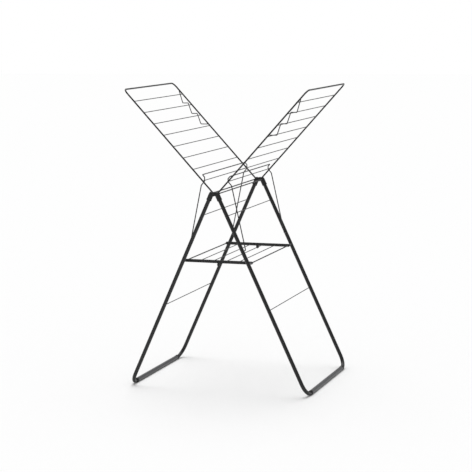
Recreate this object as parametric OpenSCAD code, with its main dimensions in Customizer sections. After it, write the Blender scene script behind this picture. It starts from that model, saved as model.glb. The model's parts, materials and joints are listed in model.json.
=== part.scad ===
// Free-standing folding drying rack: two crossed leg frames, two wings, a folding middle shelf.
// +Z is up, X runs across the spread legs and Y runs along the rods. The floor is z = 0.

/* [Stand] */
// Distance between the centre planes of the near and far legs
frame_d = 580; // [460:10:700]
// Height of the main hinge above the floor
hinge_h = 836; // [700:5:1000]
// Lean of each leg frame from the vertical
leg_angle = 24.7; // [20:0.1:27]
// Distance of each leg's centre line from the hinge axis
leg_off = 11.24; // [11:0.1:14]
// Outer diameter of the leg tube
leg_d = 16; // [14:0.5:18]
// Wall of the leg tube
leg_wall = 1.2; // [0.8:0.1:2]
// Centre line radius of the two lower bends
bend_r = 50; // [40:1:70]
// Height of the low cross rod above the floor
low_rod_h = 357; // [250:5:450]
// Drop from the main hinge to the high cross rod
high_rod_drop = 91; // [86:1:130]

/* [Feet] */
// Wall of the foot sleeve on the bottom rail
foot_wall = 1.6; // [1.2:0.1:3]
// Wall of the collar at each end of the foot sleeve
collar_wall = 2.4; // [1.6:0.1:4]
// Length of each collar
collar_len = 11; // [6:1:14]
// Thickness of sleeve left between the bottom rail and the floor
foot_sole = 1; // [0.6:0.1:1.1]

/* [Knuckles] */
// Wall of the leg socket
socket_wall = 2.5; // [2:0.1:3.5]
// Length of socket below the hinge axis
socket_len = 34; // [28:1:50]
// Drop of the centre of the socket's round end below the hinge axis, along the leg
socket_end = 5.7; // [3:0.1:7]
// Radius of the round hinge lug
lug_r = 9; // [7:0.1:9.5]
// Radius of the hinge pin
pin_r = 3; // [2:0.1:3.5]

/* [Wings] */
// Rise of each opened wing above the horizontal
wing_angle = 47.4; // [35:0.1:60]
// Length from the wing axle to the outer bar
wing_len = 575; // [480:2:700]
// Gap between the knuckle's inner side and the wing rail
rail_gap = 1.5; // [1:0.25:4]
// Diameter of the wing frame's wire
wing_wire_d = 6.6; // [5:0.2:7]
// Centre line radius of the wing's outer corners
wing_corner_r = 22; // [16:1:40]
// Diameter of the wing axle
axle_d = 5; // [4:0.2:5.4]
// Sideways distance of the wing axle from the hinge axis
axle_x = 16.2; // [15:0.1:18]
// Height of the wing axle above the hinge axis
axle_up = 0.8; // [0:0.1:3]
// Depth of the saddle that lets each wing rail down on to its axle
saddle = 0.8; // [0.3:0.1:1.5]
// Diameter of the thin hanging rods
rod_d = 3.4; // [2:0.2:4]
// Number of hanging rods on each wing
rod_count = 8; // [4:1:8]
// Distance from the wing axle to the first hanging rod
rod_first = 64; // [58:1:72]
// Distance from the last hanging rod to the outer bar
rod_last = 66.5; // [50:0.5:80]

/* [Hanger steps] */
// Diameter of the stepped wire
step_wire_d = 4; // [3:0.2:5]
// Drop of each step below the rail
step_drop = 56; // [40:1:62]
// Inward run of each drop
step_run = 17; // [10:1:22]
// Gap from each inner corner up to the rail's centre line
step_gap = 9; // [7:1:14]
// Number of steps
step_count = 3; // [2:1:3]
// Centre line radius of the step wire's bends
step_bend = 4; // [3:0.5:6]

/* [Support bails] */
// Diameter of the bail wire
bail_d = 4.5; // [3:0.1:4.6]
// Drop from the main hinge to the bail's pivot
bail_drop = 236; // [200:1:250]
// Distance of the bail's pivot outside the leg's centre line
bail_out = 3; // [3:0.1:4]
// Gap between the wing rail and the left bail's arm
bail_gap = 3.75; // [3.25:0.25:5]
// Gap between the left bail's arms and the right bail's narrower arms, which pass inside them
nest_gap = 1; // [0.5:0.25:2]
// Gap in height between the left bail's top rod and the right bail's lower one
nest_rise = 0.5; // [0.5:0.1:1]
// Centre line radius of the bail's bends
bail_bend = 5; // [4:0.5:6]

/* [Shelf] */
// Drop from the main hinge to the shelf's outer pivots
shelf_low = 289; // [270:1:294]
// Gap between the right bail's arm and the shelf bar
shelf_gap = 2.25; // [1:0.25:8]
// Height of the shelf's side bars
bar_h = 12; // [10:1:14]
// Thickness of the shelf's side bars
bar_t = 8; // [6:0.5:8]
// Drop from the shelf's outer pivots to its centre hinge
shelf_drop = 13; // [12:1:15]
// Diameter of the shelf's end rods
shelf_axle_d = 5; // [4:0.2:6]
// Diameter of the shelf's centre hinge pins
shelf_pin_d = 5; // [4:0.2:6]

/* [Hidden] */
$fn = 48;

steel = "#26282b";
plastic = "#1b1c1e";
grey = "#77797c";

run_gap = 0.05;          // radial running clearance of every pivot
part_gap = 0.3;          // side gap between pieces that move past each other
rail_tail = 4;           // length of each wing rail that runs on past its axle
wire_sides = 12;         // sides of a bent wire
bend_steps = 4;          // straight steps round each of its bends

high_rod_h = hinge_h - high_rod_drop;
bail_h = hinge_h - bail_drop;
shelf_h = hinge_h - shelf_low;
rail_h = leg_d / 2 + foot_sole;
foot_r = leg_d / 2 + foot_wall;
collar_r = leg_d / 2 + collar_wall;
socket_r = leg_d / 2 + socket_wall;
foot_len = frame_d - 2 * bend_r - 2 * collar_len - 2;
rod_pitch = (wing_len - rod_first - rod_last) / (rod_count - 1);

leg_y = frame_d / 2;
leg_inner_y = leg_y - leg_d / 2;
knuckle_in = leg_y - socket_r;
knuckle_out = leg_y + socket_r;
axle_h = hinge_h + axle_up;
rail_y = knuckle_in - rail_gap - wing_wire_d / 2;
left_arm_y = rail_y - wing_wire_d / 2 - bail_gap - bail_d / 2;
right_arm_y = left_arm_y - bail_d - nest_gap;
bail_rise = (bail_d + nest_rise) / 2;
bar_y1 = right_arm_y - bail_d / 2 - shelf_gap;
bar_mid = bar_y1 - bar_t / 2;
bar_y0 = bar_y1 - bar_t;

// Distance down the leg's centre line, from the hinge's level, to a height above the floor
function leg_s(h) = (hinge_h + leg_off * sin(leg_angle) - h) / cos(leg_angle);
// X of the right leg's centre line at that distance
function leg_x(s) = leg_off * cos(leg_angle) + s * sin(leg_angle);

leg_len = leg_s(rail_h);
foot_x = leg_x(leg_len);
tube_top = -(lug_r + 1.5);
shelf_s = leg_s(shelf_h);
shelf_x = leg_x(shelf_s);

// Points of the right wing and the right bail, as [x, z]
rail_lift = (axle_d + wing_wire_d) / 2 - saddle;
function wing_pt(t) = [axle_x + t * cos(wing_angle) - rail_lift * sin(wing_angle),
    axle_h + t * sin(wing_angle) + rail_lift * cos(wing_angle)];
lowest_rod = wing_pt(rod_first);
bail_s = leg_s(bail_h);
bail_pivot = [leg_x(bail_s) + bail_out * cos(leg_angle), bail_h + bail_out * sin(leg_angle)];
hook_in = rod_d / 2 + bail_d / 2 + 1.1;      // hook wire's distance inside the lowest rod
function bail_points(rise) = [bail_pivot, lowest_rod + [10, -19.3], lowest_rod + [-hook_in, -1.3],
    lowest_rod + [-hook_in, 12.7 + rise], lowest_rod + [4.1, 22.7 + rise]];

// The hanger steps, as distances along the wing and points below the rail
step_start = rod_first + rod_pitch * (rod_count - 1) + 22;
function step_top(i) = wing_pt(step_start - i * rod_pitch);
function step_low(i) = step_top(i) + [-step_run, -step_drop];
function step_end() = [wing_pt(0)[0] + (step_low(step_count - 1)[1] - wing_pt(0)[1]) / tan(wing_angle),
    step_low(step_count - 1)[1]];
step_points = concat([step_top(0)],
    [for (i = [0 : step_count - 1]) for (k = [0, 1])
        k == 0 ? step_low(i) : (i < step_count - 1 ? step_top(i + 1) + [0, -step_gap] : step_end())]);

// ---------- helpers ----------

// A round bar along Y between two stations
module bar_y(x, z, y0, y1, r) {
    translate([x, y0, z]) rotate([-90, 0, 0]) cylinder(r = r, h = y1 - y0);
}

function unit(v) = v / norm(v);

// Points of the arc that rounds the corner p between its neighbours a and b
function bend_arc(a, p, b, radius) =
    let (d0 = unit(p - a), d1 = unit(b - p), turn = acos(d0 * d1),
        start = p - radius * tan(turn / 2) * d0, side = unit(d1 - (d1 * d0) * d0))
    [for (k = [0 : bend_steps]) let (t = turn * k / bend_steps)
        start + radius * ((1 - cos(t)) * side + sin(t) * d0)];

function rounded_path(points, radius) = concat([points[0]],
    [for (i = [1 : len(points) - 2]) each bend_arc(points[i - 1], points[i], points[i + 1], radius)],
    [points[len(points) - 1]]);

// Normal of the cut through a path at point i: half way between the lengths that meet there
function cut_normal(path, i) =
    i == 0 ? unit(path[1] - path[0])
    : i == len(path) - 1 ? unit(path[i] - path[i - 1])
    : unit(unit(path[i] - path[i - 1]) + unit(path[i + 1] - path[i]));

// The ring of points that carries the last ring along the path to the cut at point i
function next_ring(ring, path, i) =
    let (d = unit(path[i] - path[i - 1]), n = cut_normal(path, i))
    [for (q = ring) q + ((path[i] - q) * n) / (d * n) * d];

function all_rings(path, first) =
    [for (i = 0, ring = first; i < len(path); i = i + 1,
        ring = i < len(path) ? next_ring(ring, path, i) : ring) ring];

// A bent round wire through 3-D points. up is any direction square to its first length.
module wire(points, r, bend, up) {
    path = rounded_path(points, bend);
    across = cross(unit(path[1] - path[0]), up);
    first = [for (k = [0 : wire_sides - 1]) let (t = 360 * k / wire_sides)
        path[0] + r * (cos(t) * up + sin(t) * across)];
    rings = all_rings(path, first);
    last = len(rings) - 1;
    walls = [for (i = [0 : last - 1]) for (k = [0 : wire_sides - 1])
        let (a = i * wire_sides, k2 = (k + 1) % wire_sides) each
        [[a + k, a + k2, a + wire_sides + k2], [a + k, a + wire_sides + k2, a + wire_sides + k]]];
    caps = [[for (k = [wire_sides - 1 : -1 : 0]) k],
        [for (k = [0 : wire_sides - 1]) last * wire_sides + k]];
    polyhedron(points = [for (ring = rings) each ring], faces = concat(walls, caps));
}

// Puts right-hand geometry on either side: side = 1 is right, side = -1 is left
module on_side(side) {
    if (side > 0) children();
    else mirror([1, 0, 0]) children();
}

// Turns leg coordinates, origin on the hinge axis and the leg pointing down, into place
module leg_place() {
    translate([0, 0, hinge_h]) rotate([0, -leg_angle, 0]) children();
}

// Turns wing coordinates, origin on the axle and the wing along +X, into place
module wing_place() {
    translate([axle_x, 0, axle_h]) rotate([0, -wing_angle, 0]) children();
}

// ---------- leg frames ----------

// The U-shaped path of the leg frame as a solid of radius r
module leg_path(r) {
    straight = leg_y - bend_r;
    for (s = [-1, 1]) {
        translate([leg_off, s * leg_y, bend_r - leg_len])
            cylinder(r = r, h = leg_len - bend_r + tube_top);
        translate([leg_off, s * straight, bend_r - leg_len])
            rotate([0, 90, 0]) rotate([0, 0, s > 0 ? 0 : -90])
            rotate_extrude(angle = 90) translate([bend_r, 0]) circle(r = r);
    }
    bar_y(leg_off, -leg_len, -straight, straight, r);
}

module leg_frame(side) {
    color(steel) on_side(side) difference() {
        leg_place() leg_path(leg_d / 2);
        leg_place() leg_path(leg_d / 2 - leg_wall);
        for (s = [-1, 1]) {
            for (h = [low_rod_h, high_rod_h]) wall_hole(s, leg_x(leg_s(h)), h, rod_d / 2);
            wall_hole(s, shelf_x, shelf_h, shelf_axle_d / 2);
            wall_hole(s, bail_pivot[0], bail_pivot[1], bail_d / 2 + run_gap);
        }
    }
}

// A hole through the inward wall of one leg
module wall_hole(s, x, z, r) {
    bar_y(x, z, s > 0 ? leg_inner_y - 1 : -leg_y, s > 0 ? leg_y : -leg_inner_y + 1, r);
}

module leg_rods(side) {
    color(steel) on_side(side)
        for (h = [low_rod_h, high_rod_h])
            bar_y(leg_x(leg_s(h)), h, -leg_inner_y - 3, leg_inner_y + 3, rod_d / 2);
}

// A sleeve on the bottom rail, flat where it meets the floor
module rail_sleeve(y0, y1, r) {
    difference() {
        bar_y(foot_x, rail_h, y0, y1, r);
        bar_y(foot_x, rail_h, y0 - 1, y1 + 1, leg_d / 2);
        translate([foot_x - 2 * r, y0 - 1, -2 * r]) cube([4 * r, y1 - y0 + 2, 2 * r]);
    }
}

module foot_sleeve(side) {
    color(grey) on_side(side) rail_sleeve(-foot_len / 2, foot_len / 2, foot_r);
}

module foot_collars(side) {
    color(plastic) on_side(side)
        for (s = [-1, 1]) {
            near_end = s > 0 ? foot_len / 2 : -foot_len / 2 - collar_len;
            rail_sleeve(near_end, near_end + collar_len, collar_r);
        }
}

// ---------- knuckles ----------

// Slab of the knuckle's width that one lug takes: the left lug is inside, the right one outside
function lug_span(side) = side < 0 ? [knuckle_in, leg_y - part_gap / 2]
    : [leg_y + part_gap / 2, knuckle_out];

module knuckle_far(side) {
    own = lug_span(side);
    other = lug_span(-side);
    color(plastic) difference() {
        union() {
            difference() {
                on_side(side) leg_place() {
                    translate([leg_off, leg_y, -socket_len])
                        cylinder(r = socket_r, h = socket_len - socket_end);
                    translate([leg_off, leg_y, -socket_end]) sphere(r = socket_r);
                }
                on_side(side) translate([-50 + part_gap, leg_y - 30, hinge_h - 60])
                    cube([50, 60, 120]);
                bar_y(0, hinge_h, other[0] - 1, other[1] + 1, lug_r + part_gap);
            }
            bar_y(0, hinge_h, own[0], own[1], lug_r);
        }
        on_side(side) leg_place() translate([leg_off, leg_y, -socket_len - 1])
            cylinder(r = leg_d / 2, h = socket_len + 1 + tube_top);
        bar_y(0, hinge_h, knuckle_in - 1, knuckle_out + 1, pin_r + (side > 0 ? run_gap : 0));
        on_side(side) bar_y(axle_x, axle_h, knuckle_in - 1, knuckle_out - 3.5, axle_d / 2 + run_gap);
    }
}

module knuckle_near(side) {
    mirror([0, 1, 0]) knuckle_far(side);
}

module hinge_pins() {
    color(steel) for (s = [0, 1]) mirror([0, s, 0]) {
        bar_y(0, hinge_h, knuckle_in - 1, knuckle_out + 0.5, pin_r);
        bar_y(0, hinge_h, knuckle_out + 0.5, knuckle_out + 2, pin_r + 2.5);
        bar_y(0, hinge_h, knuckle_in - 2.2, knuckle_in - 0.7, pin_r + 2);
    }
}

// ---------- wings ----------

module wing_frame(side) {
    color(steel) on_side(side) difference() {
        wing_place() translate([0, 0, rail_lift]) {
            inner = wing_len - wing_corner_r;
            for (s = [-1, 1]) {
                translate([-rail_tail, s * rail_y, 0]) rotate([0, 90, 0])
                    cylinder(r = wing_wire_d / 2, h = inner + rail_tail);
                translate([inner, s * (rail_y - wing_corner_r), 0]) rotate([0, 0, s > 0 ? 0 : -90])
                    rotate_extrude(angle = 90) translate([wing_corner_r, 0]) circle(r = wing_wire_d / 2);
            }
            bar_y(wing_len, 0, wing_corner_r - rail_y, rail_y - wing_corner_r, wing_wire_d / 2);
        }
        bar_y(axle_x, axle_h, -leg_y, leg_y, axle_d / 2);
        rod_set();
    }
}

module rod_set() {
    reach = rail_y + wing_wire_d / 2 + 1;
    for (i = [0 : rod_count - 1]) {
        p = wing_pt(rod_first + i * rod_pitch);
        bar_y(p[0], p[1], -reach, reach, rod_d / 2);
    }
}

module wing_rods(side) {
    color(steel) on_side(side) rod_set();
}

module wing_axle(side) {
    color(steel) on_side(side) bar_y(axle_x, axle_h, -knuckle_out + 4, knuckle_out - 4, axle_d / 2);
}

// A stepped wire welded to the inner side of one rail: the left wing's far rail and the right
// wing's near rail
module hanger_steps(side) {
    y = -side * (rail_y - wing_wire_d / 2 - step_wire_d / 2);
    points = [for (p = step_points) [p[0], y, p[1]]];
    color(steel) on_side(side) wire(points, step_wire_d / 2, step_bend, [0, 1, 0]);
}

// ---------- support bails ----------

module bail(side) {
    arm_y = side > 0 ? right_arm_y : left_arm_y;
    arm = bail_points(side > 0 ? -bail_rise : bail_rise);
    pin_end = leg_y - 2;
    half = concat([[arm[0][0], pin_end, arm[0][1]]], [for (p = arm) [p[0], arm_y, p[1]]]);
    other_half = [for (i = [len(half) - 1 : -1 : 0]) [half[i][0], -half[i][1], half[i][2]]];
    color(steel) on_side(side) wire(concat(half, other_half), bail_d / 2, bail_bend, [1, 0, 0]);
}

// ---------- shelf ----------

centre_h = shelf_h - shelf_drop;
thin_x = [for (k = [1, 3]) k * shelf_x / 5.1];

// One side bar, drawn on the right: an eye on the leg's pivot, a lug on the centre hinge
module shelf_bar_far(side) {
    lug_y = side < 0 ? [bar_y0, bar_mid - part_gap / 2] : [bar_mid + part_gap / 2, bar_y1];
    color(plastic) on_side(side) difference() {
        union() {
            translate([part_gap, bar_y0, shelf_h - bar_h / 2]) cube([shelf_x - part_gap, bar_t, bar_h]);
            bar_y(shelf_x, shelf_h, bar_y0, bar_y1, bar_h / 2);
            bar_y(0, centre_h, lug_y[0], lug_y[1], bar_h / 2 - 0.5);
            translate([part_gap, lug_y[0], centre_h])
                cube([bar_h / 2 - 0.8, lug_y[1] - lug_y[0], shelf_drop - 2]);
        }
        bar_y(shelf_x, shelf_h, bar_y0 - 1, bar_y1 + 1, shelf_axle_d / 2 + (side < 0 ? run_gap : 0));
        bar_y(0, centre_h, bar_y0 - 1, bar_y1 + 1, shelf_pin_d / 2 + (side > 0 ? run_gap : 0));
        for (x = thin_x) bar_y(x, shelf_h, bar_y0 - 1, bar_mid, rod_d / 2);
    }
}

module shelf_bar_near(side) {
    mirror([0, 1, 0]) shelf_bar_far(side);
}

module shelf_rods(side) {
    color(steel) on_side(side) for (x = thin_x) bar_y(x, shelf_h, -bar_mid, bar_mid, rod_d / 2);
}

// The left end rod runs from leg to leg, and the left bars turn on it
module left_shelf_axle() {
    color(steel) on_side(-1)
        bar_y(shelf_x, shelf_h, -leg_inner_y - 3, leg_inner_y + 3, shelf_axle_d / 2);
}

module left_shelf_spacers() {
    color(grey) on_side(-1) for (s = [0, 1]) mirror([0, s, 0]) difference() {
        bar_y(shelf_x, shelf_h, bar_y1 + part_gap, leg_inner_y - 1, shelf_axle_d / 2 + 2);
        bar_y(shelf_x, shelf_h, bar_y1, leg_inner_y, shelf_axle_d / 2);
    }
}

module right_shelf_end_rod() {
    color(steel) bar_y(shelf_x, shelf_h, -bar_y1, bar_y1, shelf_axle_d / 2);
}

// Stub pins on the right leg, in line with the right end rod
module right_shelf_pins() {
    color(grey) for (s = [0, 1]) mirror([0, s, 0]) {
        bar_y(shelf_x, shelf_h, bar_y1 + 0.5, leg_inner_y - 1, shelf_axle_d / 2 + 2);
        bar_y(shelf_x, shelf_h, leg_inner_y - 1, leg_inner_y + 3, shelf_axle_d / 2);
    }
}

module shelf_hinge_pins() {
    color(steel) for (s = [0, 1]) mirror([0, s, 0]) {
        bar_y(0, centre_h, bar_y0 - 0.4, bar_y1 + 0.4, shelf_pin_d / 2);
        bar_y(0, centre_h, bar_y1 + 0.4, bar_y1 + 1.6, shelf_pin_d / 2 + 1.5);
        bar_y(0, centre_h, bar_y0 - 1.6, bar_y0 - 0.4, shelf_pin_d / 2 + 1.5);
    }
}

leg_frame(-1);  // left_leg_frame
leg_rods(-1);  // left_leg_rods
foot_sleeve(-1);  // left_foot_sleeve
foot_collars(-1);  // left_foot_collars
knuckle_near(-1);  // left_knuckle_near
knuckle_far(-1);  // left_knuckle_far
hinge_pins();
leg_frame(1);  // right_leg_frame
leg_rods(1);  // right_leg_rods
foot_sleeve(1);  // right_foot_sleeve
foot_collars(1);  // right_foot_collars
knuckle_near(1);  // right_knuckle_near
knuckle_far(1);  // right_knuckle_far
wing_frame(-1);  // left_wing_frame
wing_rods(-1);  // left_wing_rods
wing_axle(-1);  // left_wing_axle
hanger_steps(-1);  // left_hanger_steps
wing_frame(1);  // right_wing_frame
wing_rods(1);  // right_wing_rods
wing_axle(1);  // right_wing_axle
hanger_steps(1);  // right_hanger_steps
bail(-1);  // left_bail
bail(1);  // right_bail
shelf_bar_near(-1);  // left_shelf_bar_near
shelf_bar_far(-1);  // left_shelf_bar_far
shelf_rods(-1);  // left_shelf_rods
left_shelf_axle();
left_shelf_spacers();
shelf_hinge_pins();
shelf_bar_near(1);  // right_shelf_bar_near
shelf_bar_far(1);  // right_shelf_bar_far
shelf_rods(1);  // right_shelf_rods
right_shelf_end_rod();
right_shelf_pins();
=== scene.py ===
"""Folding drying rack: finishes, bent wires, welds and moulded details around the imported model."""

import json
import math

import bmesh
import bpy
from bpy.props import (FloatProperty, FloatVectorProperty, IntProperty, PointerProperty,
                       StringProperty)
from mathutils import Matrix, Vector


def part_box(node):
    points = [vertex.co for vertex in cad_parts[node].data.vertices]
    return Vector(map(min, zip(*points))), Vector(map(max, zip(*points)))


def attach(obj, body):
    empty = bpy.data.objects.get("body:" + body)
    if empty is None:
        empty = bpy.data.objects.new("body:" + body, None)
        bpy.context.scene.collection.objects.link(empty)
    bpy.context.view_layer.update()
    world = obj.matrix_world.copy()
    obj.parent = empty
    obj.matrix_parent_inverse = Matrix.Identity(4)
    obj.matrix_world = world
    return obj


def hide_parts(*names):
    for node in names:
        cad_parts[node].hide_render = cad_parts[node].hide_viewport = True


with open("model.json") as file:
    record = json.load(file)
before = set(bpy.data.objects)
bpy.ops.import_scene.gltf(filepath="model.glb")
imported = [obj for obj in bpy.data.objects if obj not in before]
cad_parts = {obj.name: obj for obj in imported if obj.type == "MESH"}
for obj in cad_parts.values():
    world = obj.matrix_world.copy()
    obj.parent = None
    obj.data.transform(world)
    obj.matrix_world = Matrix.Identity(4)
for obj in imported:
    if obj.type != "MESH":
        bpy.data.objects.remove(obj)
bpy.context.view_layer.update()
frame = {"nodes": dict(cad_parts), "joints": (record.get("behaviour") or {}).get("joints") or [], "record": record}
SIDES = (("left", -1.0), ("right", 1.0))
MM = 0.001
# Each leg leans out by LEAN. Its tube runs LEG_OFF beside the hinge and starts in a socket
# whose mouth is SOCKET below the hinge.
LEAN = math.radians(24.7)
LEG_OFF = 11.24 * MM
SOCKET = 34 * MM
# A bail's hook, from the wing's lowest rod: out and down to where the arm turns in, down to the
# foot of the hook, up to its top, and out and up to its tip.
HOOK_OUT = 10 * MM
HOOK_LOW = 19.3 * MM
HOOK_FOOT = 1.3 * MM
HOOK_TOP = 12.7 * MM
HOOK_TIP = 22.7 * MM
HOOK_TIP_OUT = 4.1 * MM
HOOK_GAP = 1.1 * MM
# A stepped hanger wire: how far past the last rod it starts, and each step's run, drop and gap.
STEP_COUNT = 3
STEP_START = 22 * MM
STEP_RUN = 17 * MM
STEP_DROP = 56 * MM
STEP_GAP = 9 * MM
# The wing axle's radius, how far a cross rod goes into its tube, how far a screw sits above its
# socket's mouth, and how close two points are when they count as one.
AXLE_R = 2.5 * MM
TUBE_SINK = 3 * MM
SCREW_UP = 11 * MM
MERGE = 0.01 * MM

bl_info = {
    "name": "Folding Drying Rack",
    "version": (1, 0, 0),
    "blender": (4, 5, 0),
    "location": "View3D > Sidebar > Drying Rack",
    "description": "Wires, welds, moulded details and finishes of a folding drying rack",
    "category": "Object",
}


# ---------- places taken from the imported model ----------

def joint_place(name):
    """Where a joint's axis crosses the middle of the rack."""
    for joint in frame["joints"]:
        if joint["name"] == name:
            return Vector(joint["pos_m"])
    raise RuntimeError("the packed model has no joint called " + name)


def rods_of(node):
    """Centre of each parallel rod in a node, lowest first."""
    points = sorted(((v.co.z, v.co.x) for v in frame["nodes"][node].data.vertices))
    groups = [[points[0]]]
    for point in points[1:]:
        if point[0] - groups[-1][-1][0] > 4 * MM:
            groups.append([])
        groups[-1].append(point)
    centres = []
    for group in groups:
        zs = [p[0] for p in group]
        xs = [p[1] for p in group]
        centres.append(Vector(((min(xs) + max(xs)) / 2, 0.0, (min(zs) + max(zs)) / 2)))
    return centres


def outer_y(node, z_low, z_high):
    """Largest distance from the middle plane among a node's points between two heights."""
    return max(abs(v.co.y) for v in frame["nodes"][node].data.vertices if z_low < v.co.z < z_high)


# ---------- hand tools ----------

def deselect_all():
    """Leave edit mode and select nothing."""
    if bpy.context.object and bpy.context.object.mode != "OBJECT":
        bpy.ops.object.mode_set(mode="OBJECT")
    bpy.ops.object.select_all(action="DESELECT")


def only(*objects):
    """Select these objects alone, the last one active."""
    deselect_all()
    for obj in objects:
        obj.select_set(True)
    bpy.context.view_layer.objects.active = objects[-1]


def apply_place(obj):
    """Put the object's place in its mesh."""
    only(obj)
    bpy.ops.object.transform_apply(location=True, rotation=True, scale=True)


def join(pieces, name):
    """Make one named piece of several."""
    only(*pieces)
    bpy.ops.object.join()
    obj = bpy.context.view_layer.objects.active
    obj.name = name
    obj.data.name = name
    return obj


def copies(piece, places):
    """A copy of a finished piece, with its own mesh, at each place. The piece is used up."""
    made = []
    for place in places:
        twin = piece.copy()
        twin.data = piece.data.copy()
        bpy.context.scene.collection.objects.link(twin)
        twin.data.transform(place)
        made.append(twin)
    bpy.data.objects.remove(piece)
    return made


def shade(obj, angle=40.0):
    """Shade smooth, with sharp edges above the angle in degrees."""
    only(obj)
    bpy.ops.object.shade_smooth_by_angle(angle=math.radians(angle))


def select_faces(obj, wanted):
    """In edit mode, selects just the faces that the test wants."""
    bpy.ops.mesh.select_all(action="DESELECT")
    shape = bmesh.from_edit_mesh(obj.data)
    for face in shape.faces:
        if wanted(face):
            face.select_set(True)
    bmesh.update_edit_mesh(obj.data)


def close_up(obj):
    """Merge doubles and turn every face outwards."""
    only(obj)
    bpy.ops.object.mode_set(mode="EDIT")
    bpy.ops.mesh.select_all(action="SELECT")
    bpy.ops.mesh.remove_doubles(threshold=MERGE)
    bpy.ops.mesh.normals_make_consistent(inside=False)
    bpy.ops.object.mode_set(mode="OBJECT")


def bent_wire(name, points, radius, bend, sides=20, steps=7):
    """A round wire: a disc drawn out along each straight and spun round each bend."""
    points = [Vector(p) for p in points]
    first = (points[1] - points[0]).normalized()
    deselect_all()
    bpy.context.tool_settings.mesh_select_mode = (True, False, True)
    bpy.ops.mesh.primitive_circle_add(
        vertices=sides, radius=radius, fill_type="NGON", location=points[0],
        rotation=first.to_track_quat("Z", "Y").to_euler())
    obj = bpy.context.object
    apply_place(obj)
    bpy.ops.object.mode_set(mode="EDIT")
    bpy.ops.mesh.select_all(action="SELECT")
    at = points[0]
    for i in range(1, len(points)):
        along = (points[i] - points[i - 1]).normalized()
        if i < len(points) - 1:
            after = (points[i + 1] - points[i]).normalized()
            turn = along.angle(after)
            reach = bend * math.tan(turn / 2)
        else:
            turn = 0.0
            reach = 0.0
        stop = points[i] - along * reach
        bpy.ops.mesh.extrude_region_move(TRANSFORM_OT_translate={"value": stop - at})
        at = stop
        if turn > 0.001:
            inward = (after - along * after.dot(along)).normalized()
            bpy.ops.mesh.spin(steps=steps, angle=-turn, center=stop + inward * bend,
                              axis=along.cross(after).normalized())
            at = points[i] + after * reach
    bpy.ops.object.mode_set(mode="OBJECT")
    obj.name = name
    obj.data.name = name
    close_up(obj)
    shade(obj)
    return obj


def turned(name, profile, sides=24):
    """A ring turned about Z from profile points (radius, height), its last joined to its first."""
    deselect_all()
    bpy.context.tool_settings.mesh_select_mode = (True, False, False)
    bpy.ops.mesh.primitive_circle_add(vertices=sides, radius=profile[0][0],
                                      location=(0, 0, profile[0][1]))
    obj = bpy.context.object
    apply_place(obj)
    bpy.ops.object.mode_set(mode="EDIT")
    bpy.ops.mesh.select_all(action="SELECT")
    for (r0, z0), (r1, z1) in zip(profile, profile[1:]):
        bpy.ops.mesh.extrude_edges_move(TRANSFORM_OT_translate={"value": (0, 0, z1 - z0)})
        grow = r1 / r0
        bpy.ops.transform.resize(value=(grow, grow, 1), center_override=(0, 0, z1))
    bpy.ops.mesh.select_all(action="SELECT")
    bpy.ops.mesh.remove_doubles(threshold=MERGE)
    bpy.ops.mesh.select_all(action="DESELECT")
    bpy.ops.mesh.select_non_manifold(extend=False)
    bpy.ops.mesh.bridge_edge_loops()
    bpy.ops.object.mode_set(mode="OBJECT")
    obj.name = name
    obj.data.name = name
    close_up(obj)
    shade(obj)
    return obj


def along_y(x, y, z, sign):
    """Places a piece turned about Z so that its top points along +Y or -Y."""
    return Matrix.Translation((x, y, z)) @ Matrix.Rotation(-sign * math.pi / 2, 4, "X")


# ---------- materials ----------

def linear(code):
    """An sRGB hex colour as linear RGBA."""
    parts = [int(code[i:i + 2], 16) / 255 for i in (0, 2, 4)]
    return [c / 12.92 if c <= 0.04045 else ((c + 0.055) / 1.055) ** 2.4 for c in parts] + [1.0]


def node(tree, kind, links=None, **settings):
    """Adds a node. Settings are its properties or inputs; links name the sockets that feed it."""
    new = tree.nodes.new(kind)
    for key, value in settings.items():
        if hasattr(new, key):
            setattr(new, key, value)
        else:
            new.inputs[key.replace("_", " ")].default_value = value
    for key, source in (links or {}).items():
        tree.links.new(source, new.inputs[key])
    return new


def new_material(name):
    """A material with its shader and output, and the object's own coordinates."""
    mat = bpy.data.materials.new(name)
    mat.use_nodes = True
    tree = mat.node_tree
    tree.nodes.clear()
    out = tree.nodes.new("ShaderNodeOutputMaterial")
    shader = tree.nodes.new("ShaderNodeBsdfPrincipled")
    tree.links.new(shader.outputs["BSDF"], out.inputs["Surface"])
    place = tree.nodes.new("ShaderNodeTexCoord").outputs["Object"]
    return mat, tree, shader, place


def ramp(tree, source, stops):
    """A colour ramp from (position, hex colour) stops."""
    new = node(tree, "ShaderNodeValToRGB", {"Fac": source})
    elements = new.color_ramp.elements
    while len(elements) < len(stops):
        elements.new(0.5)
    for element, (position, code) in zip(elements, stops):
        element.position = position
        element.color = linear(code)
    return new.outputs["Color"]


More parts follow.
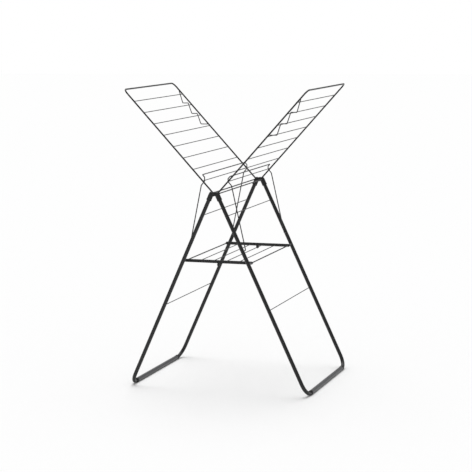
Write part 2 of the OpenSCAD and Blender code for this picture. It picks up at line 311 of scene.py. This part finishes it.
def powder_coat():
    """Epoxy-polyester powder, sprayed and baked: satin black with a fine orange peel, a little
    thin and glossy where it flowed, and faint pale rub marks."""
    look = bpy.context.scene.rack_finish
    mat, tree, shader, place = new_material("baked_powder_coat_black")
    # Orange peel waves are about 1.5 mm apart on a coating 70 microns thick.
    peel = node(tree, "ShaderNodeTexNoise", {"Vector": place}, Scale=1 / (look.peel_pitch * 2),
                Detail=2.0, Roughness=0.55)
    flow = node(tree, "ShaderNodeTexNoise", {"Vector": place}, Scale=22.0, Detail=3.0)
    specks = node(tree, "ShaderNodeTexVoronoi", {"Vector": place}, Scale=420.0)
    rub = node(tree, "ShaderNodeTexNoise", {"Vector": place}, Scale=70.0, Detail=6.0, Roughness=0.7)
    tone = ramp(tree, flow.outputs["Fac"], [(0.3, look.coat_deep_hex), (0.7, look.coat_hex)])
    rub_mask = node(tree, "ShaderNodeMapRange", {"Value": rub.outputs["Fac"]}, From_Min=0.68,
                    From_Max=0.82, To_Min=0.0, To_Max=0.35)
    worn = node(tree, "ShaderNodeMix", {"Factor": rub_mask.outputs["Result"]}, data_type="RGBA")
    # A mix of colours takes its first colour at input 6 and its second at input 7.
    tree.links.new(tone, worn.inputs[6])
    worn.inputs[7].default_value = linear("3c3e40")
    tree.links.new(worn.outputs[2], shader.inputs["Base Color"])
    rough = node(tree, "ShaderNodeMapRange", {"Value": flow.outputs["Fac"]}, From_Min=0.3,
                 From_Max=0.7, To_Min=look.coat_roughness - 0.05,
                 To_Max=look.coat_roughness + 0.07)
    tree.links.new(rough.outputs["Result"], shader.inputs["Roughness"])
    bump = node(tree, "ShaderNodeBump", {"Height": peel.outputs["Fac"]}, Strength=0.35,
                Distance=0.00012)
    grit = node(tree, "ShaderNodeBump", {"Height": specks.outputs["Distance"],
                                         "Normal": bump.outputs["Normal"]},
                Strength=0.12, Distance=0.00006)
    tree.links.new(grit.outputs["Normal"], shader.inputs["Normal"])
    shader.inputs["IOR"].default_value = 1.5
    shader.inputs["Specular IOR Level"].default_value = 0.4
    shader.inputs["Coat Weight"].default_value = 0.08
    shader.inputs["Coat Roughness"].default_value = 0.25
    return mat


def moulded_black():
    """Injection-moulded polypropylene, spark-eroded mould: fine even grain, dull sheen."""
    look = bpy.context.scene.rack_finish
    mat, tree, shader, place = new_material("moulded_polypropylene_black")
    # Grain of a spark-eroded mould, drawn at 0.5 mm so that it shows.
    grain = node(tree, "ShaderNodeTexNoise", {"Vector": place}, Scale=2000.0, Detail=1.0)
    cloud = node(tree, "ShaderNodeTexNoise", {"Vector": place}, Scale=60.0, Detail=3.0)
    tone = ramp(tree, cloud.outputs["Fac"],
                [(0.3, look.plastic_deep_hex), (0.75, look.plastic_hex)])
    tree.links.new(tone, shader.inputs["Base Color"])
    rough = node(tree, "ShaderNodeMapRange", {"Value": cloud.outputs["Fac"]}, From_Min=0.3,
                 From_Max=0.7, To_Min=0.5, To_Max=0.62)
    tree.links.new(rough.outputs["Result"], shader.inputs["Roughness"])
    # Moulded edges are rounded to about 0.6 mm.
    edge = node(tree, "ShaderNodeBevel", Radius=0.0006)
    bump = node(tree, "ShaderNodeBump", {"Height": grain.outputs["Fac"],
                                         "Normal": edge.outputs["Normal"]},
                Strength=0.25, Distance=0.00005)
    tree.links.new(bump.outputs["Normal"], shader.inputs["Normal"])
    shader.inputs["IOR"].default_value = 1.49
    return mat


def extruded_grey():
    """Extruded soft PVC: smooth and slightly glossy, with fine die lines along its length and
    scuffs from the floor."""
    look = bpy.context.scene.rack_finish
    mat, tree, shader, place = new_material("extruded_pvc_grey")
    # Stretched along Y, so the noise becomes die lines about 0.6 mm apart.
    stretch = node(tree, "ShaderNodeMapping", {"Vector": place}, Scale=(1.0, 0.01, 1.0))
    lines = node(tree, "ShaderNodeTexNoise", {"Vector": stretch.outputs["Vector"]}, Scale=1600.0,
                 Detail=2.0)
    scuff = node(tree, "ShaderNodeTexNoise", {"Vector": place}, Scale=160.0, Detail=7.0,
                 Roughness=0.75)
    tone = ramp(tree, scuff.outputs["Fac"],
                [(0.25, look.foot_deep_hex), (0.62, look.foot_hex), (0.8, "6c6e70")])
    tree.links.new(tone, shader.inputs["Base Color"])
    rough = node(tree, "ShaderNodeMapRange", {"Value": scuff.outputs["Fac"]}, From_Min=0.3,
                 From_Max=0.8, To_Min=0.3, To_Max=0.5)
    tree.links.new(rough.outputs["Result"], shader.inputs["Roughness"])
    bump = node(tree, "ShaderNodeBump", {"Height": lines.outputs["Fac"]}, Strength=0.3,
                Distance=0.00012)
    tree.links.new(bump.outputs["Normal"], shader.inputs["Normal"])
    shader.inputs["IOR"].default_value = 1.53
    return mat


def zinc_screw():
    """Black-passivated zinc on a screw: dark, metallic and a little uneven."""
    mat, tree, shader, place = new_material("black_passivated_zinc")
    cloud = node(tree, "ShaderNodeTexNoise", {"Vector": place}, Scale=900.0, Detail=3.0)
    tone = ramp(tree, cloud.outputs["Fac"], [(0.3, "2b2d30"), (0.75, "4a4c50")])
    tree.links.new(tone, shader.inputs["Base Color"])
    rough = node(tree, "ShaderNodeMapRange", {"Value": cloud.outputs["Fac"]}, From_Min=0.3,
                 From_Max=0.7, To_Min=0.3, To_Max=0.45)
    tree.links.new(rough.outputs["Result"], shader.inputs["Roughness"])
    shader.inputs["Metallic"].default_value = 1.0
    return mat


def floor_paint():
    """Matt pale studio paint with the faintest roller texture."""
    mat, tree, shader, place = new_material("matt_studio_paint")
    roller = node(tree, "ShaderNodeTexNoise", {"Vector": place}, Scale=180.0, Detail=3.0)
    tone = ramp(tree, roller.outputs["Fac"], [(0.2, "f4f4f4"), (0.8, "f7f7f7")])
    tree.links.new(tone, shader.inputs["Base Color"])
    shader.inputs["Roughness"].default_value = 1.0
    shader.inputs["Specular IOR Level"].default_value = 0.0
    bump = node(tree, "ShaderNodeBump", {"Height": roller.outputs["Fac"]}, Strength=0.05,
                Distance=0.0002)
    tree.links.new(bump.outputs["Normal"], shader.inputs["Normal"])
    return mat


MADE = {}


def material(make):
    """The material that a function makes, made once."""
    if make not in MADE:
        MADE[make] = make()
    return MADE[make]


def finish(obj, make):
    """Gives a new piece its material."""
    obj.data.materials.clear()
    obj.data.materials.append(material(make))


def finish_cad(name, make):
    """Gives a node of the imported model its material."""
    obj = frame["nodes"][name]
    if not obj.material_slots:
        obj.data.materials.append(material(make))
    for place in obj.material_slots:
        place.material = material(make)


# ---------- what a user may change ----------

def hex_property(name, description, default):
    """A colour that a user types as six hex digits."""
    return StringProperty(name=name, description=description, default=default, maxlen=6)


class RackFinish(bpy.types.PropertyGroup):
    """Colours and surface of each finish."""
    coat_hex: hex_property("Powder coat", "sRGB hex colour of the powder coat", "131415")
    coat_deep_hex: hex_property("Powder coat, deep", "sRGB hex colour where it lies thick",
                                "0f1011")
    coat_roughness: FloatProperty(
        name="Powder coat roughness", description="Mean roughness of the powder coat",
        default=0.4, min=0.1, max=0.9, subtype="FACTOR")
    peel_pitch: FloatProperty(
        name="Orange peel pitch", description="Distance between the coating's waves",
        default=1.5 * MM, min=0.5 * MM, max=4 * MM, unit="LENGTH", precision=4)
    plastic_hex: hex_property("Black plastic", "sRGB hex colour of the knuckles", "121314")
    plastic_deep_hex: hex_property("Black plastic, deep", "sRGB hex colour of its shade", "0b0c0c")
    foot_hex: hex_property("Grey plastic", "sRGB hex colour of the foot sleeves", "4a4b4d")
    foot_deep_hex: hex_property("Grey plastic, deep", "sRGB hex colour of its shade", "38393b")


class RackSizes(bpy.types.PropertyGroup):
    """Sizes of the wires, welds and moulded details."""
    bail_wire: FloatProperty(
        name="Bail wire", description="Diameter of the support bail's wire",
        default=4.5 * MM, min=2 * MM, max=8 * MM, unit="LENGTH", precision=4)
    bail_bend: FloatProperty(
        name="Bail bend", description="Centre line radius of the bail's bends",
        default=5 * MM, min=3 * MM, max=8 * MM, unit="LENGTH", precision=4)
    step_wire: FloatProperty(
        name="Hanger wire", description="Diameter of the stepped hanger wire",
        default=4 * MM, min=2 * MM, max=6 * MM, unit="LENGTH", precision=4)
    step_bend: FloatProperty(
        name="Hanger bend", description="Centre line radius of the hanger wire's bends",
        default=4 * MM, min=2 * MM, max=8 * MM, unit="LENGTH", precision=4)
    rod: FloatProperty(
        name="Rod", description="Diameter of the thin rods",
        default=3.4 * MM, min=2 * MM, max=5 * MM, unit="LENGTH", precision=4)
    rail: FloatProperty(
        name="Wing rail", description="Diameter of the wing frame's wire",
        default=6.6 * MM, min=4 * MM, max=8 * MM, unit="LENGTH", precision=4)
    weld: FloatProperty(
        name="Weld", description="How far each weld fillet stands out round its rod",
        default=0.9 * MM, min=0.2 * MM, max=2 * MM, unit="LENGTH", precision=4)
    screw_head: FloatProperty(
        name="Screw head", description="Diameter of the knuckle's fixing screw head",
        default=6 * MM, min=3 * MM, max=8 * MM, unit="LENGTH", precision=4)
    wire_sides: IntProperty(
        name="Wire sides", description="Sides of each round wire", default=20, min=8, max=48)


class RackStage(bpy.types.PropertyGroup):
    """Camera and light."""
    camera_place: FloatVectorProperty(
        name="Camera place", description="Where the camera stands",
        default=(2.250, -6.271, 1.593), subtype="TRANSLATION")
    yaw: FloatProperty(
        name="Yaw", description="How far the camera turns right of straight ahead",
        default=math.radians(-19.83), subtype="ANGLE")
    pitch: FloatProperty(
        name="Pitch", description="How far the camera looks down", default=math.radians(8.31),
        subtype="ANGLE")
    roll: FloatProperty(
        name="Roll", description="How far the camera leans", default=math.radians(-0.80),
        subtype="ANGLE")
    lens: FloatProperty(
        name="Lens", description="Focal length on a 36 mm sensor", default=118.83, min=20, max=300)
    key_strength: FloatProperty(
        name="Key light", description="Strength of the large, distant overhead softbox",
        default=1.95, min=0, max=20)
    key_spread: FloatProperty(
        name="Key spread", description="Apparent width of the softbox",
        default=math.radians(50), min=0, max=math.pi, subtype="ANGLE")
    fill: FloatProperty(
        name="Fill", description="Light that the white surroundings give",
        default=0.5, min=0, max=3)
    backdrop: FloatProperty(
        name="Backdrop", description="Brightness of the white surroundings themselves",
        default=1.0, min=0, max=3)


# ---------- pieces ----------

class RACK_OT_cad_finishes(bpy.types.Operator):
    """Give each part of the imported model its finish"""
    bl_idname = "rack.cad_finishes"
    bl_label = "Finish the frame"

    def execute(self, context):
        slots = {s["node"]: s["material_slot"] for s in frame["record"]["subparts"]}
        looks = {"powder_coat": powder_coat, "knuckle_plastic": moulded_black,
                 "foot_plastic": extruded_grey}
        for name in frame["nodes"]:
            finish_cad(name, looks[slots[name]])
        return {"FINISHED"}


class RACK_OT_support_bails(bpy.types.Operator):
    """Bend the two support bails that hook over each wing's lowest rod"""
    bl_idname = "rack.support_bails"
    bl_label = "Bend the support bails"

    def execute(self, context):
        size = context.scene.rack_sizes
        r = size.bail_wire / 2
        for name, side in SIDES:
            cad = name + "_bail"
            pivot = joint_place(name + "_bail_swing")
            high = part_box(cad)[1]
            rod = rods_of(name + "_wing_rods")[0]
            # The arms are measured above the pivot ends, which turn out into the leg.
            arm_y = outer_y(cad, pivot.z + 20 * MM, high.z) - r
            inside = size.rod / 2 + r + HOOK_GAP
            lift = high.z - r - rod.z - HOOK_TIP
            outline = [(pivot.x, pivot.z),
                       (rod.x + side * HOOK_OUT, rod.z - HOOK_LOW),
                       (rod.x - side * inside, rod.z - HOOK_FOOT),
                       (rod.x - side * inside, rod.z + HOOK_TOP + lift),
                       (rod.x + side * HOOK_TIP_OUT, rod.z + HOOK_TIP + lift)]
            half = [(pivot.x, high.y, pivot.z)] + [(x, arm_y, z) for x, z in outline]
            points = half + [(x, -y, z) for x, y, z in reversed(half)]
            bail = bent_wire(name + "_bail_wire", points, r, size.bail_bend, size.wire_sides)
            finish(bail, powder_coat)
            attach(bail, name + "_bail")
            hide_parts(cad)
        return {"FINISHED"}


class RACK_OT_hanger_steps(bpy.types.Operator):
    """Bend the stepped hanger wire along one rail of each wing"""
    bl_idname = "rack.hanger_steps"
    bl_label = "Bend the hanger steps"

    def execute(self, context):
        size = context.scene.rack_sizes
        r = size.step_wire / 2
        for name, side in SIDES:
            cad = name + "_hanger_steps"
            low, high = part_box(cad)
            y = (low.y + high.y) / 2
            rods = rods_of(name + "_wing_rods")
            pitch = (rods[-1] - rods[0]) / (len(rods) - 1)
            along = pitch.normalized()
            drop = Vector((-side * STEP_RUN, 0, -STEP_DROP))
            gap = Vector((0, 0, -STEP_GAP))
            points = []
            for i in range(STEP_COUNT):
                top = rods[-1] + along * STEP_START - pitch * i
                points += [top + gap if i else top, top + drop]
            rise = (points[-1].z - rods[0].z) / along.z
            points.append(rods[0] + along * rise)
            wire = bent_wire(name + "_hanger_wire", [(p.x, y, p.z) for p in points], r,
                             size.step_bend, size.wire_sides)
            finish(wire, powder_coat)
            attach(wire, name + "_wing")
            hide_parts(cad)
        return {"FINISHED"}


def fillet(name, bore, flare, length):
    """A concave weld fillet round a rod, base at z = 0."""
    points = [(bore + flare * (1 - t) ** 2, length * t) for t in (k / 5 for k in range(6))]
    inner = bore * 0.85
    return turned(name, [(inner, 0.0)] + points + [(inner, length)], sides=20)


class RACK_OT_welds(bpy.types.Operator):
    """Weld fillets where the rods meet the rails and the leg tubes"""
    bl_idname = "rack.welds"
    bl_label = "Add the welds"

    def execute(self, context):
        size = context.scene.rack_sizes
        r = size.rod / 2
        for name, side in SIDES:
            rods = rods_of(name + "_wing_rods")
            rail_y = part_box(name + "_wing_frame")[1].y - size.rail / 2
            # The fillet's base sinks into the round rail, which falls away beside the rod.
            start = rail_y - math.sqrt((size.rail / 2) ** 2 - r ** 2) + 0.3 * MM
            places = []
            for rod in rods:
                for sign in (-1, 1):
                    places.append(along_y(rod.x, sign * start, rod.z, -sign))
            bead = fillet("weld", r, size.weld, 2.2 * MM)
            group = join(copies(bead, places), name + "_wing_welds")
            finish(group, powder_coat)
            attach(group, name + "_wing")

            axle = joint_place(name + "_wing_fold")
            # The rail sits in a shallow saddle on top of the axle, with weld to either side.
            outside = [along_y(axle.x, s * (rail_y + 1.9 * MM), axle.z, s) for s in (-1, 1)]
            inside = [along_y(axle.x, s * (rail_y - 1.9 * MM), axle.z, -s) for s in (-1, 1)]
            group = join(copies(fillet("weld", AXLE_R, size.weld, 1.6 * MM), outside)
                         + copies(fillet("weld", AXLE_R, size.weld, 2.4 * MM), inside),
                         name + "_axle_welds")
            finish(group, powder_coat)
            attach(group, name + "_wing")

            cross = rods_of(name + "_leg_rods")
            tube_in = outer_y(name + "_leg_rods", 0, 2) - TUBE_SINK
            places = [along_y(rod.x, sign * (tube_in + 0.2 * MM), rod.z, -sign)
                      for rod in cross for sign in (-1, 1)]
            bead = fillet("weld", r, size.weld, 2.0 * MM)
            group = join(copies(bead, places), name + "_leg_welds")
            finish(group, powder_coat)
            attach(group, name + "_leg")
        return {"FINISHED"}


def fixing_screw(size):
    """A pan-head screw with a six-sided recess, head up, its seat at z = 0."""
    r = size.screw_head / 2
    deselect_all()
    bpy.ops.mesh.primitive_cylinder_add(vertices=24, radius=r, depth=1.2 * MM,
                                        location=(0, 0, 0.6 * MM))
    obj = bpy.context.object
    apply_place(obj)
    bpy.ops.object.mode_set(mode="EDIT")
    bpy.ops.mesh.select_mode(type="FACE")
    select_faces(obj, lambda f: f.normal.z > 0.9)
    bpy.ops.mesh.bevel(offset=0.5 * MM, segments=3, affect="EDGES")
    select_faces(obj, lambda f: f.normal.z > 0.999)
    bpy.ops.mesh.inset(thickness=r * 0.42)
    bpy.ops.object.mode_set(mode="OBJECT")
    inner = min((f for f in obj.data.polygons if f.normal.z > 0.999),
                key=lambda f: f.center.xy.length + f.area)
    across = 1.25 * MM
    for index in inner.vertices:
        co = obj.data.vertices[index].co
        angle = math.atan2(co.y, co.x)
        away = across / math.cos((angle % (math.pi / 3)) - math.pi / 6)
        co.x = away * math.cos(angle)
        co.y = away * math.sin(angle)
    bpy.ops.object.mode_set(mode="EDIT")
    select_faces(obj, lambda f: f.normal.z > 0.999 and f.calc_area() < 7e-6
                 and f.calc_center_median().xy.length < 0.05 * MM)
    bpy.ops.mesh.extrude_region_move(TRANSFORM_OT_translate={"value": (0, 0, -0.8 * MM)})
    bpy.ops.object.mode_set(mode="OBJECT")
    close_up(obj)
    shade(obj, 30.0)
    return obj


class RACK_OT_knuckle_details(bpy.types.Operator):
    """Ring each socket's mouth and add the screws that hold the tubes"""
    bl_idname = "rack.knuckle_details"
    bl_label = "Detail the knuckles"

    def execute(self, context):
        size = context.scene.rack_sizes
        hinge = joint_place("leg_fold")
        for name, side in SIDES:
            low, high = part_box(name + "_knuckle_far")
            socket_r = (high.y - low.y) / 2
            leg_y = (high.y + low.y) / 2
            lean = Matrix.Translation(hinge) @ Matrix.Rotation(-side * LEAN, 4, "Y")
            # A rounded band 3 mm wide that stands 0.6 mm proud. Each pair is how far a point
            # stands out from the socket and how far up the socket it is, in millimetres.
            band = [(-0.4, 0), (0.35, 0.15), (0.6, 0.7), (0.6, 2.3), (0.35, 2.85), (-0.4, 3)]
            ring = turned("ring", [(socket_r + out * MM, up * MM) for out, up in band], sides=48)
            rings = copies(ring, [
                lean @ Matrix.Translation((side * LEG_OFF, s * leg_y, -SOCKET + 0.2 * MM))
                for s in (-1, 1)])
            group = join(rings, name + "_socket_rings")
            finish(group, moulded_black)
            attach(group, name + "_leg")

            places = [lean @ along_y(side * LEG_OFF, s * (leg_y + socket_r - 0.1 * MM),
                                     -SOCKET + SCREW_UP, s) for s in (-1, 1)]
            screws = join(copies(fixing_screw(size), places), name + "_socket_screws")
            finish(screws, zinc_screw)
            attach(screws, name + "_leg")
        return {"FINISHED"}


class RACK_OT_stage(bpy.types.Operator):
    """Lay the pale floor and set the softboxes and the camera"""
    bl_idname = "rack.stage"
    bl_label = "Set the stage"

    def execute(self, context):
        scene = context.scene
        setting = scene.rack_stage
        deselect_all()
        bpy.ops.mesh.primitive_plane_add(size=60, location=(0, 0, 0))
        floor = context.object
        floor.name = "floor"
        finish(floor, floor_paint)

        # The surroundings look white but light the rack only softly.
        world = bpy.data.worlds.new("white_surroundings")
        scene.world = world
        world.use_nodes = True
        tree = world.node_tree
        tree.nodes.clear()
        seen = node(tree, "ShaderNodeLightPath")
        strength = node(tree, "ShaderNodeMapRange", {"Value": seen.outputs["Is Camera Ray"]},
                        To_Min=setting.fill, To_Max=setting.backdrop)
        sky = node(tree, "ShaderNodeBackground", {"Strength": strength.outputs["Result"]},
                   Color=(1, 1, 1, 1))
        node(tree, "ShaderNodeOutputWorld", {"Surface": sky.outputs["Background"]})

        deselect_all()
        bpy.ops.object.light_add(type="SUN", location=(-1.5, -1.5, 4.0))
        lamp = context.object
        lamp.name = "softbox_over"
        lamp.data.energy = setting.key_strength
        lamp.data.angle = setting.key_spread
        lamp.rotation_euler = Vector((0.15, -0.35, -1.0)).to_track_quat("-Z", "Y").to_euler()

        yaw, pitch, roll = setting.yaw, setting.pitch, setting.roll
        ahead = Vector((math.sin(yaw) * math.cos(pitch), math.cos(yaw) * math.cos(pitch),
                        -math.sin(pitch)))
        right = Vector((math.cos(yaw), -math.sin(yaw), 0))
        up = right.cross(ahead)
        right_2 = right * math.cos(roll) + up * math.sin(roll)
        up_2 = up * math.cos(roll) - right * math.sin(roll)
        deselect_all()
        bpy.ops.object.camera_add(location=setting.camera_place)
        camera = context.object
        camera.name = "camera"
        camera.data.sensor_width = 36
        camera.data.lens = setting.lens
        camera.data.clip_end = 100
        turn = Matrix((right_2, up_2, -ahead)).transposed()
        camera.rotation_euler = turn.to_euler()
        scene.camera = camera
        scene.view_settings.view_transform = "Standard"
        scene.view_settings.look = "None"
        return {"FINISHED"}


class RACK_PT_panel(bpy.types.Panel):
    """Lists the rack's pieces"""
    bl_idname = "RACK_PT_panel"
    bl_label = "Drying Rack"
    bl_space_type = "VIEW_3D"
    bl_region_type = "UI"
    bl_category = "Drying Rack"

    def draw(self, context):
        for key, _ in GROUPS:
            group = getattr(context.scene, key)
            box = self.layout.box()
            for name in group.__annotations__:
                box.prop(group, name)
        for step in STEPS:
            self.layout.operator(step.bl_idname)


STEPS = (RACK_OT_cad_finishes, RACK_OT_support_bails, RACK_OT_hanger_steps, RACK_OT_welds,
         RACK_OT_knuckle_details, RACK_OT_stage)
GROUPS = (("rack_finish", RackFinish), ("rack_sizes", RackSizes), ("rack_stage", RackStage))


def register():
    """Make the settings, the operators and the panel known."""
    for name, group in GROUPS:
        bpy.utils.register_class(group)
        setattr(bpy.types.Scene, name, PointerProperty(type=group))
    for step in STEPS:
        bpy.utils.register_class(step)
    bpy.utils.register_class(RACK_PT_panel)


def unregister():
    """Take them out again."""
    bpy.utils.unregister_class(RACK_PT_panel)
    for step in reversed(STEPS):
        bpy.utils.unregister_class(step)
    for name, group in reversed(GROUPS):
        delattr(bpy.types.Scene, name)
        bpy.utils.unregister_class(group)


def main():
    """Add every piece in order."""
    register()
    bpy.ops.rack.cad_finishes()
    bpy.ops.rack.support_bails()
    bpy.ops.rack.hanger_steps()
    bpy.ops.rack.welds()
    bpy.ops.rack.knuckle_details()
    bpy.ops.rack.stage()


if __name__ == "__main__":
    main()
